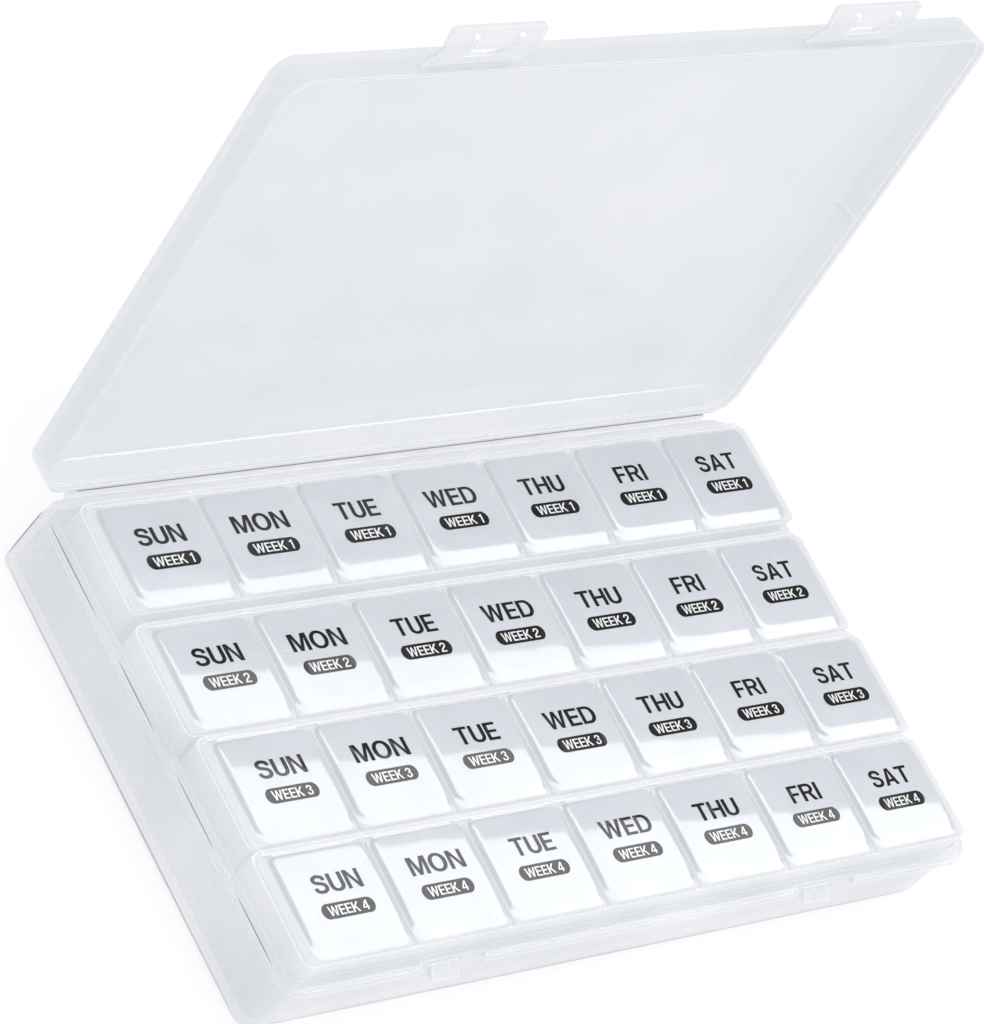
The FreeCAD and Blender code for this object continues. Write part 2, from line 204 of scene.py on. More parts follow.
def ink(name, dark, light, rough=0.3, coat_rough=0.06):
    """Printed ink under the same gloss, a little uneven where it is thin."""
    m = Nodes(name)
    out = m.add("ShaderNodeOutputMaterial")
    b = m.add("ShaderNodeBsdfPrincipled")
    co = m.add("ShaderNodeTexCoord")
    n1 = m.add("ShaderNodeTexNoise", Scale=420.0, Detail=5.0, Roughness=0.65)
    m.link(co.outputs["Object"], n1.inputs["Vector"])
    tint = ramp(m.add("ShaderNodeValToRGB"), [(0.3, dark), (0.75, light)])
    m.link(n1.outputs["Fac"], tint.inputs["Fac"])
    m.link(tint.outputs["Color"], b.inputs["Base Color"])
    n2 = m.add("ShaderNodeTexNoise", Scale=1600.0, Detail=2.0)
    m.link(co.outputs["Object"], n2.inputs["Vector"])
    rr = m.add("ShaderNodeMapRange")
    rr.inputs["To Min"].default_value = rough * 0.8
    rr.inputs["To Max"].default_value = rough * 1.2
    m.link(n2.outputs["Fac"], rr.inputs["Value"])
    m.link(rr.outputs["Result"], b.inputs["Roughness"])
    swell = m.add("ShaderNodeTexNoise", Scale=38.0, Detail=1.0, Roughness=0.4)
    m.link(co.outputs["Object"], swell.inputs["Vector"])
    bump = m.add("ShaderNodeBump", Strength=0.35, Distance=0.0004)
    m.link(swell.outputs["Fac"], bump.inputs["Height"])
    m.link(bump.outputs["Normal"], b.inputs["Normal"])
    m.link(bump.outputs["Normal"], b.inputs["Coat Normal"])
    b.inputs["IOR"].default_value = 1.5
    b.inputs["Specular IOR Level"].default_value = 0.0
    b.inputs["Coat Weight"].default_value = 0.33
    b.inputs["Coat Roughness"].default_value = coat_rough
    b.inputs["Coat IOR"].default_value = 1.5
    m.link(b.outputs["BSDF"], out.inputs["Surface"])
    return m.mat


# each plastic below emits part of its brightness as painted light (a share of 0.4 by default), and rim sets how
# strongly it paints highlights along its edges
CASE = plastic("case_plastic", (0.71, 0.725, 0.765), (0.785, 0.797, 0.825), 0.36, 0.78, coat_rough=0.08, rim=0.6, rim_width=0.6, gloss=0.3)
COVER = plastic("cover_plastic", (0.725, 0.745, 0.785), (0.775, 0.79, 0.825), 0.50, 0.84, mottle=22.0, wave=0.10, rim=0.75,
                rim_width=0.5, gloss=0.5)
TRAY = plastic("tray_plastic", (0.80, 0.815, 0.85), (0.86, 0.872, 0.90), 0.62, 0.86, coat_rough=0.15, rim=0.95, rim_width=0.85, gloss=0.15)
LIDS = plastic("lid_plastic", (0.575, 0.602, 0.652), (0.625, 0.648, 0.692), 0.80, 0.92, mottle=90.0, rim=0.6, rim_width=0.5, gloss=0.5)
BAND = plastic("lid_border", (0.80, 0.815, 0.845), (0.86, 0.87, 0.89), 0.55, 0.88, mottle=90.0, rough=0.4, coat_rough=0.25, rim=0.8,
               rim_width=0.4, gloss=0.08)
LATCH = plastic("latch_plastic", (0.75, 0.762, 0.80), (0.81, 0.822, 0.85), 0.50, 0.85, rim=0.8, rim_width=0.4, gloss=0.45)
FILM = plastic("film_plastic", (0.78, 0.79, 0.815), (0.85, 0.86, 0.875), 0.50, 0.80, mottle=140.0, gloss=0.4)
# painted shade: a dark grey plastic used only for thin strips and threads put where creases and edges look dark
PAINTED_SHADE = plastic("painted_shade_plastic", (0.17, 0.185, 0.22), (0.26, 0.275, 0.31), 0.66, 0.84, mottle=60.0, gloss=0.2)
BLACK = ink("print_black", (0.006, 0.006, 0.006), (0.013, 0.012, 0.012))
WHITE = ink("print_white", (0.80, 0.81, 0.82), (0.88, 0.885, 0.89))


def paint(obj, mat):
    obj.data.materials.clear()
    obj.data.materials.append(mat)


# ---------------------------------------------------------------- mesh helpers
def new_mesh(name, bm, mat, smooth=True, angle=None):
    bmesh.ops.recalc_face_normals(bm, faces=bm.faces)
    me = bpy.data.meshes.new(name)
    bm.to_mesh(me)
    bm.free()
    ob = bpy.data.objects.new(name, me)
    bpy.context.scene.collection.objects.link(ob)
    if smooth:
        me.polygons.foreach_set("use_smooth", [True] * len(me.polygons))
        if angle:
            me.set_sharp_from_angle(angle=math.radians(angle))
    me.materials.append(mat)
    return ob


def ring_points(x0, x1, y0, y1, r, arc=7, side=8, front=None):
    """Points of a rounded rectangle, anticlockwise from the lower right corner's start. front: radius of its two front corners."""
    most = min((x1 - x0) / 2 - 0.01, (y1 - y0) / 2 - 0.01)
    back = max(0.02, min(r, most))
    front = back if front is None else max(0.02, min(front, most))
    corners = [((x1 - front, y0 + front), -90, front), ((x1 - back, y1 - back), 0, back), ((x0 + back, y1 - back), 90, back),
               ((x0 + front, y0 + front), 180, front)]
    pts = []
    for k, ((cx, cy), a0, r) in enumerate(corners):
        for j in range(arc + 1):
            a = math.radians(a0 + 90.0 * j / arc)
            pts.append((cx + r * math.cos(a), cy + r * math.sin(a)))
        (nx, ny), na, r = corners[(k + 1) % 4]
        a = math.radians(na)
        end = (nx + r * math.cos(a), ny + r * math.sin(a))
        start = pts[-1]
        for j in range(1, side):
            t = j / side
            pts.append((start[0] + (end[0] - start[0]) * t, start[1] + (end[1] - start[1]) * t))
    return pts


def skin(bm, rings, close_first=True, close_last=True):
    """Quads between rings of equal length (lists of 3-D points), caps at the ends."""
    vr = [[bm.verts.new(Vector(p) * MM) for p in ring] for ring in rings]
    n = len(vr[0])
    for a, b in zip(vr, vr[1:]):
        for i in range(n):
            j = (i + 1) % n
            bm.faces.new((a[i], a[j], b[j], b[i]))
    if close_first:
        bm.faces.new(list(reversed(vr[0])))
    if close_last:
        bm.faces.new(vr[-1])
    return vr


# ---------------------------------------------------------------- compartment lids
def door_limits(i):
    cx = col_x(i)
    x0, x1 = cx - (COL_PITCH - DOOR_GAP) / 2, cx + (COL_PITCH - DOOR_GAP) / 2
    if i == 0:
        x0 = -TRAY_HALF_L + 0.2
    if i == 6:
        x1 = TRAY_HALF_L - 0.2
    return x0, x1


PM = (PLATEAU_FRONT + PLATEAU_BACK) / 2
PH = (PLATEAU_BACK - PLATEAU_FRONT) / 2


# how far the arch's highest line lies from its middle, per tray: at SUN, and its change from day to day
LEAN = {1: (0.0, 0.0), 2: (0.0, 0.0), 3: (0.3, -0.68), 4: (2.9, -0.62)}


def lean(week, i):
    return LEAN[week][0] + LEAN[week][1] * i


def crown(y, drop=0.0, c=0.0):
    """Height of the plateau's arch at y, from the row's centre line."""
    u = (y - PM - c) / PH
    return DOOR_TOP - 0.005 - DOOR_SAG * u * u - drop


def door_mesh(name, i, xc, yc, mat, c_arch=0.0):
    cx = col_x(i) + xc
    x0, x1 = door_limits(i)
    x0, x1 = x0 + xc, x1 + xc
    yf, yb = DOOR_FRONT, DOOR_BACK
    rings = []

    def flat(ix, fy, by, z, r):
        rings.append([(x, y + yc, z) for x, y in ring_points(x0 + ix, x1 - ix, yf + fy, yb - by, r)])

    # recess in the underside, from its middle outwards
    flat(5.0, 5.0, 5.0, DOOR_Z0 + 0.55, 1.0)
    flat(2.15, 2.35, 2.35, DOOR_Z0 + 0.55, 1.0)
    flat(2.0, 2.2, 2.2, DOOR_Z0 + 0.50, 1.0)
    flat(1.72, 1.92, 1.92, DOOR_Z0 + 0.05, 1.0)
    flat(1.6, 1.8, 1.8, DOOR_Z0, 1.1)
    # round the border band: full round on the front lip, small rounding elsewhere
    R, c = 0.37, (DOOR_Z0 + DOOR_BAND) / 2
    steps = 8
    for k in range(steps + 1):
        a = -90 + 180.0 * k / steps
        f = R * (1 - math.cos(math.radians(a)))
        z = c + (DOOR_BAND - DOOR_Z0) / 2 * math.sin(math.radians(a))
        t = abs(math.sin(math.radians(a)))
        s = 0.0 if k < steps / 2 else 0.22 * max(0.0, 1 - math.sqrt(max(0.0, 1 - max(0.0, (t - 0.4) / 0.6) ** 2)))
        bk = 0.0 if k < steps / 2 else s * 0.68
        if k < steps / 2:
            s = 0.06 * max(0.0, (t - 0.6) / 0.4)
            bk = s
        flat(s, f, bk, z, 0.9)
    # border band's top, up to the foot of the plateau
    px0, px1 = cx - PLATEAU_W / 2, cx + PLATEAU_W / 2
    rise = DOOR_TOP - DOOR_SAG - DOOR_BAND
    sx, sb, sf = PLATEAU_SLOPE / rise, 0.12 / rise, PLATEAU_FALL / rise

    def hill(d, inset, drop, r, lift=False):
        """Ring on the plateau: d below its edge, inset in plan from its edge, drop below the arch."""
        pts = ring_points(px0 - sx * d + inset, px1 + sx * d - inset, PLATEAU_FRONT - sf * d + inset,
                          PLATEAU_BACK + sb * d - inset, r, front=r * 1.45)
        out = []
        for x, y in pts:
            top = crown(min(max(y, PLATEAU_FRONT), PLATEAU_BACK), 0.0, c_arch)
            if lift:
                z = crown(y, drop, c_arch)
            else:
                z = DOOR_BAND + (top - DOOR_BAND) * (1 - d / rise)
            out.append((x, y + yc, z))
        rings.append(out)

    # the foot keeps clear of the slab's rounded edge
    foot = rise - 0.0
    hill(foot, -0.12, 0, 1.9)
    rings[-1] = [(min(max(x, x0 + 0.24), x1 - 0.24), min(max(y, yf + yc + 0.4), yb + yc - 0.16), DOOR_BAND) for x, y, z in rings[-1]]
    hill(foot - 0.03, -0.04, 0, 1.88)
    rings[-1] = [(min(max(x, x0 + 0.25), x1 - 0.25), min(y, yb + yc - 0.17), DOOR_BAND + 0.03) for x, y, z in rings[-1]]
    hill(foot - 0.12, 0, 0, 1.85)
    hill(0.30, 0, 0, 1.75)
    # rounded edge onto the arch
    e = 0.30
    for k in range(1, 6):
        a = math.radians(90.0 * k / 5)
        ins = e * (1 - math.cos(a)) * 0.9
        dr = e * (1 - math.sin(a))
        hill(0.30 * (1 - k / 5), ins, dr, 1.65, lift=True)
    for ins in (0.7, 1.6, 3.0, 4.6, 6.2, 7.8, 8.9):
        hill(0.0, ins, 0.0, max(0.3, 1.6 - ins * 0.25), lift=True)
    bm = bmesh.new()
    skin(bm, rings)
    bm.faces.ensure_lookup_table()
    border = (5 + steps + 1) * len(rings[0])
    for k, f in enumerate(bm.faces):
        f.material_index = 1 if k < border or k == len(bm.faces) - 2 else 0
    ob = new_mesh(name, bm, mat)
    ob.data.materials.append(BAND)
    return ob


# ---------------------------------------------------------------- print on the lids
def smooth_path(points, n=6):
    """Catmull-Rom curve through the points."""
    out = []
    P = [points[0]] + list(points) + [points[-1]]
    for k in range(1, len(P) - 2):
        p0, p1, p2, p3 = (Vector(P[k + j]) for j in (-1, 0, 1, 2))
        for j in range(n):
            t = j / n
            out.append(0.5 * ((2 * p1) + (p2 - p0) * t + (2 * p0 - 5 * p1 + 4 * p2 - p3) * t * t
                              + (3 * p1 - p0 - 3 * p2 + p3) * t ** 3))
    out.append(Vector(P[-2]))
    return out


def stroke(points, width, n=6):
    """Two edges of a pen stroke along a smooth path."""
    c = smooth_path(points, n)
    left, right = [], []
    for k, p in enumerate(c):
        d = (c[min(k + 1, len(c) - 1)] - c[max(k - 1, 0)]).normalized()
        q = Vector((-d.y, d.x)) * width / 2
        left.append(p + q)
        right.append(p - q)
    return left, right


def arc_pts(cx, cy, rx, ry, a0, a1, n=14, power=1.0):
    out = []
    for k in range(n + 1):
        a = math.radians(a0 + (a1 - a0) * k / n)
        ca, sa = math.cos(a), math.sin(a)
        out.append(Vector((cx + rx * math.copysign(abs(ca) ** power, ca), cy + ry * math.copysign(abs(sa) ** power, sa))))
    return out


def box_pts(x0, y0, x1, y1):
    return [(x0, y0), (x1, y0), (x1, y1), (x0, y1)]


def glyph(ch):
    """(width, polygons, strips) of a plain sans capital or figure, 100 high. A strip is two edges of equal length."""
    if ch == "I":
        return 15, [box_pts(0, 0, 15, 100)], []
    if ch == "E":
        return 56, [[(0, 0), (56, 0), (56, 13), (15, 13), (15, 44), (52, 44), (52, 57), (15, 57), (15, 87), (56, 87), (56, 100), (0, 100)]], []
    if ch == "F":
        return 54, [[(0, 0), (15, 0), (15, 42), (48, 42), (48, 55), (15, 55), (15, 87), (54, 87), (54, 100), (0, 100)]], []
    if ch == "H":
        return 67, [[(0, 0), (15, 0), (15, 44), (52, 44), (52, 0), (67, 0), (67, 100), (52, 100), (52, 57), (15, 57), (15, 100), (0, 100)]], []
    if ch == "T":
        return 64, [[(24.5, 0), (39.5, 0), (39.5, 87), (64, 87), (64, 100), (0, 100), (0, 87), (24.5, 87)]], []
    if ch == "N":
        return 67, [[(0, 0), (14.5, 0), (14.5, 75), (51, 0), (67, 0), (67, 100), (52.5, 100), (52.5, 25), (16, 100), (0, 100)]], []
    if ch == "M":
        return 83, [[(0, 0), (14, 0), (14, 76), (35, 0), (48, 0), (69, 76), (69, 0), (83, 0), (83, 100), (61.5, 100), (41.5, 27), (21.5, 100), (0, 100)]], []
    if ch == "W":
        return 100, [[(20.5, 0), (35, 0), (50, 72), (65, 0), (79.5, 0), (100, 100), (84.5, 100), (71.8, 27), (57, 100), (43, 100), (28.2, 27), (15.5, 100), (0, 100)]], []
    if ch == "K":
        return 68, [[(0, 0), (15, 0), (15, 32), (25.5, 44), (50.5, 0), (68.5, 0), (35.5, 55.5), (66.5, 100), (48.5, 100), (15, 51.5), (15, 100), (0, 100)]], []
    if ch == "A":
        left = [(0, 0), (15.5, 0), (22.3, 21), (36, 21), (36, 33.5), (26.2, 33.5), (36, 84), (36, 100), (27.5, 100)]
        return 72, [left, [(72 - x, y) for x, y in reversed(left)]], []
    if ch == "4":
        return 60, [[(36, 0), (50, 0), (50, 22), (60, 22), (60, 34), (50, 34), (50, 100), (36, 100)],
                    [(0, 22), (36, 22), (36, 34), (13.5, 34), (36, 77), (36, 100), (34, 100), (0, 36)]], []
    if ch == "1":
        return 40, [[(20, 0), (34.5, 0), (34.5, 100), (24, 100), (19, 90), (4, 84), (4, 72.5), (20, 78)]], []
    if ch == "U":
        o = [Vector((0, 100))] + arc_pts(32.5, 32, 32.5, 33.5, 180, 360, power=0.93) + [Vector((65, 100))]
        i = [Vector((15, 100))] + arc_pts(32.5, 33, 17.5, 21.5, 180, 360, power=0.93) + [Vector((50, 100))]
        return 65, [], [(o, i)]
    if ch == "O":
        o = arc_pts(39, 50, 39, 51.5, 0, 360, n=40, power=0.95)
        i = arc_pts(39, 50, 23.5, 38.0, 0, 360, n=40, power=0.93)
        return 78, [], [(o, i)]
    if ch == "D":
        o = [Vector((0, 0)), Vector((28, 0))] + arc_pts(32, 50, 38, 50, -90, 90, n=20, power=0.93)[1:-1] + [Vector((28, 100)), Vector((0, 100)), Vector((0, 0))]
        i = [Vector((15, 13)), Vector((28, 13))] + arc_pts(31, 50, 23.5, 37, -90, 90, n=20, power=0.93)[1:-1] + [Vector((28, 87)), Vector((15, 87)), Vector((15, 13))]
        return 70, [], [(o, i)]
    if ch == "R":
        o = [Vector((15, 100)), Vector((38, 100))] + arc_pts(40, 71.5, 25, 28.5, 90, -90, n=14)[1:-1] + [Vector((38, 43)), Vector((15, 43))]
        i = [Vector((15, 87)), Vector((37, 87))] + arc_pts(38, 71.5, 12.5, 15.5, 90, -90, n=14)[1:-1] + [Vector((37, 56)), Vector((15, 56))]
        return 68, [box_pts(0, 0, 15, 100), [(33, 43), (48, 44.2), (68, 0), (51, 0)]], [(o, i)]
    if ch == "S":
        return 63, [], [stroke([(55.5, 69), (49.5, 86), (31, 93.5), (14, 87.5), (8, 74), (14, 61.5), (31, 54.5), (49, 46), (56, 29), (49.5, 12.5), (31, 6.5), (13, 13), (6.8, 31)], 14.5)]
    if ch == "2":
        return 58, [box_pts(0, 0, 57, 13)], [stroke([(7.5, 67), (12, 86), (29, 93.5), (46, 86), (50.5, 71), (44, 56), (28, 41), (13, 26), (8.5, 13)], 14)]
    if ch == "3":
        return 58, [], [stroke([(7.5, 72), (14, 87.5), (28.5, 93.5), (44, 87), (48.5, 74), (42, 59.5), (26, 54)], 13.5),
                        stroke([(26, 52), (44, 46.5), (51.5, 30), (45, 12.5), (28, 6.5), (12, 12.5), (6.5, 30)], 13.5)]
    return 30, [], []


def fatten(poly, d, hold):
    """The polygon with its sides moved out by d. Corners on the line x = hold, where two pieces of a letter meet, stay on it."""
    if not d:
        return poly
    n = len(poly)
    area = sum(poly[k][0] * poly[(k + 1) % n][1] - poly[(k + 1) % n][0] * poly[k][1] for k in range(n))
    turn = 1.0 if area > 0 else -1.0
    out = []
    for k in range(n):
        a, b, c = Vector(poly[k - 1]), Vector(poly[k]), Vector(poly[(k + 1) % n])
        u, v = (b - a).normalized(), (c - b).normalized()
        n1, n2 = Vector((u.y, -u.x)) * turn, Vector((v.y, -v.x)) * turn
        m = (n1 + n2) / max(0.35, 1 + n1.dot(n2)) * d
        x, y = b.x + m.x, b.y + m.y
        out.append((hold if hold is not None and abs(b.x - hold) < 0.01 else x, y))
    return out


def text_bmesh(body, cap, width, gap=11.0, weight=0.0):
    """A word as a flat bmesh in mm, cap mm high and width mm wide, centred on 0, 0. weight moves the
    letters' outlines outwards, in hundredths of their height."""
    bm = bmesh.new()
    at = 0.0
    for ch in body:
        if ch == " ":
            at += 26.0
            continue
        gw, polys, strips = glyph(ch)
        for poly in polys:
            poly = fatten(poly, weight, 36.0 if ch in "A4" else None)
            bm.faces.new([bm.verts.new((at + p[0], p[1], 0)) for p in poly])
        for o, i in strips:
            grown = [(p + (p - q).normalized() * weight, q - (p - q).normalized() * weight) for p, q in zip(o, i)]
            o, i = [g[0] for g in grown], [g[1] for g in grown]
            vo = [bm.verts.new((at + p[0], p[1], 0)) for p in o]
            vi = [bm.verts.new((at + p[0], p[1], 0)) for p in i]
            for k in range(len(vo) - 1):
                bm.faces.new((vo[k], vo[k + 1], vi[k + 1], vi[k]))
        at += gw + gap
    for v in bm.verts:
        v.co.y = 50.0 + (v.co.y - 50.0) * 100.0 / (100.0 + 2 * weight)
    xs = [v.co.x for v in bm.verts]
    cx, kx, ky = (min(xs) + max(xs)) / 2, width / (max(xs) - min(xs)), cap / 100.0
    for v in bm.verts:
        v.co = Vector(((v.co.x - cx) * kx, (v.co.y - 50.0) * ky, 0))
    bm.normal_update()
    bmesh.ops.triangulate(bm, faces=bm.faces, ngon_method="EAR_CLIP")
    bm.normal_update()
    for f in bm.faces:
        if f.normal.z < 0:
            f.normal_flip()
    return bm


DAY_WIDTH = {"sun": 11.3, "mon": 13.3, "tue": 10.4, "wed": 12.9, "thu": 11.2, "fri": 8.05, "sat": 10.7}
TEXT_Y, CAP_Y = 2.75, -2.65
TEXT_H = 3.75
CAPSULE = (12.5, 3.05)


def lay_on(bm, cx, yc, dy, height, c_arch=0.0):
    """Puts flat print on the arch of a lid, height mm over it."""
    for v in bm.verts:
        x, y = v.co.x, v.co.y + dy
        v.co = Vector((x + cx, y + yc, crown(y, 0.0, c_arch) + height)) * MM


def print_piece(name, bm, mat, body):
    me = bpy.data.meshes.new(name)
    bmesh.ops.remove_doubles(bm, verts=bm.verts, dist=1e-7)
    bm.to_mesh(me)
    bm.free()
    ob = bpy.data.objects.new(name, me)
    bpy.context.scene.collection.objects.link(ob)
    me.materials.append(mat)
    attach(ob, body)
    return ob


def capsule_bmesh(w, h, n=14):
    bm = bmesh.new()
    r = h / 2
    top, bottom = [], []
    m = 24
    L = w / 2 - r
    xs = [-w / 2 + r * (1 - math.cos(math.pi / 2 * k / n)) for k in range(n)]
    xs += [-L + 2 * L * k / m for k in range(m + 1)]
    xs += [w / 2 - r * (1 - math.cos(math.pi / 2 * k / n)) for k in range(n - 1, -1, -1)]
    for x in xs:
        d = abs(x) - L
        y = r if d <= 0 else math.sqrt(max(0.0, r * r - d * d))
        top.append(bm.verts.new((x, max(y, 0.001), 0)))
        bottom.append(bm.verts.new((x, -max(y, 0.001), 0)))
    for k in range(len(xs) - 1):
        bm.faces.new((bottom[k], bottom[k + 1], top[k + 1], top[k]))
    return bm


WORDS = {d: text_bmesh(d.upper(), TEXT_H, DAY_WIDTH[d], weight=1.5) for d in DAYS}
WEEK_WORD = {w: text_bmesh("WEEK %d" % w, 1.95, 9.5, 9.0, weight=0.7) for w in WEEKS}

for w in WEEKS:
    yc, xc = row_y(w), row_x(w)
    for i, d in enumerate(DAYS):
        node = "week_%d_%s_lid" % (w, d)
        ob = door_mesh("lid_w%d_%s" % (w, d), i, xc, yc, LIDS, lean(w, i))
        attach(ob, node)
        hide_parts(node)
        cx = col_x(i) + xc
        t = WORDS[d].copy()
        lay_on(t, cx + (-0.3, 0.1, 0.55, 0.6)[w - 1], yc, TEXT_Y, 0.03, lean(w, i))
        print_piece("day_w%d_%s" % (w, d), t, BLACK, node)
        c = capsule_bmesh(*CAPSULE)
        lay_on(c, cx + (0.0, 0.1, 0.3, 0.4)[w - 1], yc, CAP_Y, 0.025, lean(w, i))
        print_piece("pill_w%d_%s" % (w, d), c, BLACK, node)
        t = WEEK_WORD[w].copy()
        lay_on(t, cx + (0.0, 0.1, 0.3, 0.4)[w - 1], yc, CAP_Y, 0.045, lean(w, i))
        print_piece("week_w%d_%s" % (w, d), t, WHITE, node)
for bm in list(WORDS.values()) + list(WEEK_WORD.values()):
    bm.free()

# ---------------------------------------------------------------- living hinges
def ribbon(name, path, x0, x1, thick, mat, segments=1):
    """A thin sheet along X: path is its middle line in (y, z), thick its full thickness."""
    bm = bmesh.new()
    pts = [Vector((0, y, z)) for y, z in path]
    ring = []
    n = len(pts)
    for side in (1, -1):
        order = range(n) if side == 1 else range(n - 1, -1, -1)
        for k in order:
            d = (pts[min(k + 1, n - 1)] - pts[max(k - 1, 0)]).normalized()
            q = Vector((0, -d.z, d.y)) * thick / 2 * side
            ring.append(pts[k] + q)
    xs = [x0 + (x1 - x0) * k / segments for k in range(segments + 1)]
    rows = [[bm.verts.new(Vector((x, p.y, p.z)) * MM) for p in ring] for x in xs]
    m = len(ring)
    for a, b in zip(rows, rows[1:]):
        for k in range(m):
            j = (k + 1) % m
            bm.faces.new((a[k], a[j], b[j], b[k]))
    for k in range(n - 1):
        for r, flip in ((rows[0], False), (rows[-1], True)):
            f = [r[k], r[k + 1], r[m - 2 - k], r[m - 1 - k]]
            bm.faces.new(list(reversed(f)) if flip else f)
    return new_mesh(name, bm, mat, angle=50)


def bezier(a, b, c, n=8):
    out = []
    for k in range(n + 1):
        t = k / n
        out.append(((1 - t) ** 2 * a[0] + 2 * t * (1 - t) * b[0] + t * t * c[0],
                    (1 - t) ** 2 * a[1] + 2 * t * (1 - t) * b[1] + t * t * c[1]))
    return out


def opened(y, z):
    """Where a point of the shut cover lies at rest."""
    a = math.radians(LID_OPEN)
    dy, dz = y - HINGE_Y, z - HINGE_Z
    return (HINGE_Y + dy * math.cos(a) + dz * math.sin(a), HINGE_Z - dy * math.sin(a) + dz * math.cos(a))


# the cover's web
web_a, web_c = (51.72, 15.86), opened(51.72, 16.60)
web = ribbon("hinge_web", bezier(web_a, (HINGE_Y + 0.25, HINGE_Z - 0.15), web_c, 12), -82.5, 82.5, 0.30, FILM, segments=40)
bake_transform(web)
# painted shade: a thin dark strip along the cover's hinge bend, standing in for the dark line the bend shows
crease = ribbon("hinge_crease_shade", [(52.60, 16.96), (52.62, 17.22)], -80.0, 81.9, 0.08, PAINTED_SHADE, segments=40)
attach(crease, "case_lid")
# the latches' films
LATCH_PIVOT = (69.9725, 120.1009)
for side, s in (("left", -1), ("right", 1)):
    lo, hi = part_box("latch_%s_film" % side)
    node_lo, node_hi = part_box("latch_%s" % side)
    x0, x1 = lo.x / MM, hi.x / MM
    a = ((lo.y + hi.y) / 2 / MM, lo.z / MM + 0.12)
    c = (LATCH_PIVOT[0] + 0.02, node_lo.z / MM + 0.35)
    film = ribbon("latch_%s_web" % side, bezier(a, LATCH_PIVOT, c, 8), x0, x1, 0.28, FILM, segments=8)
    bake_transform(film)
# dark reflections of the trays' ends, a hair's breadth deep, in the rim's outer edges
for s in (-1, 1):
    for k, (y0, y1) in enumerate(((27.2, 47.0), (2.9, 18.0), (-21.6, -6.4), (-45.0, -31.0))):
        bm = bmesh.new()
        steps = 10
        rows = []
        for j in range(steps + 1):
            t = j / steps
            y = y0 + (y1 - y0) * t
            h = 0.11 * math.sin(math.pi * min(1.0, max(0.0, t * 1.0))) ** 0.5 + 0.01
            rows.append([bm.verts.new(Vector((s * (88.86 + dx), y, z)) * MM) for dx, z in ((-h, 16.36), (h, 16.36), (h, 16.40), (-h, 16.40))])
        for a, b in zip(rows, rows[1:]):
            for q in range(4):
                bm.faces.new((a[q], a[(q + 1) % 4], b[(q + 1) % 4], b[q]))
        bm.faces.new(list(reversed(rows[0])))
        bm.faces.new(rows[-1])
        line = new_mesh("rim_line_%s_%d" % ("left" if s < 0 else "right", k + 1), bm, PAINTED_SHADE, smooth=False)
        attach(line, "case_base")
def painted_shade_thread(name, points, r, mat, body):
    """A fine thread along points (mm), thinning to nothing at both ends; with the dark plastic it paints shade along an
    edge.
    """
    bm = bmesh.new()
    rings = []
    n = len(points)
    for k, q in enumerate(points):
        q = Vector(q)
        t = (Vector(points[min(k + 1, n - 1)]) - Vector(points[max(k - 1, 0)])).normalized()
        a = t.orthogonal().normalized()
        b = t.cross(a)
        w = r * (0.15 + 0.85 * math.sin(math.pi * k / (n - 1)) ** 0.35) if 0 < k < n - 1 else r * 0.15
        rings.append([bm.verts.new((q + (a * math.cos(f) + b * math.sin(f)) * w) * MM) for f in (0.0, 1.0472, 2.0944, 3.1416, 4.1888, 5.236)])
    for u, v in zip(rings, rings[1:]):
        for j in range(6):
            bm.faces.new((u[j], u[(j + 1) % 6], v[(j + 1) % 6], v[j]))
    bm.faces.new(list(reversed(rings[0])))
    bm.faces.new(rings[-1])
    ob = new_mesh(name, bm, mat)
    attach(ob, body)
    return ob


def between(a, b, n):
    return [tuple(a[q] + (b[q] - a[q]) * k / n for q in range(3)) for k in range(n + 1)]


# painted shade: dark threads along the base's foot and its back corners, where these edges look dark
for s in (-1, 1):
    side = "left" if s < 0 else "right"
    painted_shade_thread("base_foot_shade_line_%s" % side, between((s * 87.62, -46.5, 0.30), (s * 87.62, 49.2, 0.30), 24), 0.13, PAINTED_SHADE, "case_base")
    painted_shade_thread("base_back_shade_line_%s" % side, between((s * 87.45, 50.35, 0.9), (s * 87.60, 50.60, 14.8), 12), 0.16, PAINTED_SHADE, "case_base")
painted_shade_thread("base_foot_shade_line_front", between((-84.6, -49.0, 0.30), (84.6, -49.0, 0.30), 30), 0.10, PAINTED_SHADE, "case_base")
# the lids' films, and the roots they spring from
for w in WEEKS:
    yc, xc = row_y(w), row_x(w)
    root = ribbon("film_roots_w%d" % w, [(yc + STRIP_Y - 0.04, DOOR_PIVOT_Z - 0.02), (yc + STRIP_Y + 0.35, DOOR_PIVOT_Z - 0.02)],
                  xc - 81.5, xc + 81.5, 0.16, FILM, segments=7)
    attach(root, "week_%d_tray" % w)
    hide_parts("week_%d_hinge_films" % w)
    for i, d in enumerate(DAYS):
        cx = col_x(i) + xc
        y0, y1 = yc + STRIP_Y + 0.05, yc + DOOR_BACK - 0.06
        film = ribbon("film_w%d_%s" % (w, d), [(y0 - (y0 - y1) * k / 6, DOOR_PIVOT_Z) for k in range(7)],
                      cx - 9.5, cx + 9.5, 0.18, FILM, segments=4)
        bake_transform(film)

# ---------------------------------------------------------------- carried-over nodes
for name, ob in NODES.items():
    if name.endswith("_lid") and name.startswith("week"):
        continue
    if "film" in name or "web" in name:
        paint(ob, FILM)
    elif name.startswith("case_lid"):
        paint(ob, COVER)
    elif name.startswith("case"):
        paint(ob, CASE)
    elif name.startswith("latch"):
        paint(ob, LATCH)
    else:
        paint(ob, TRAY)

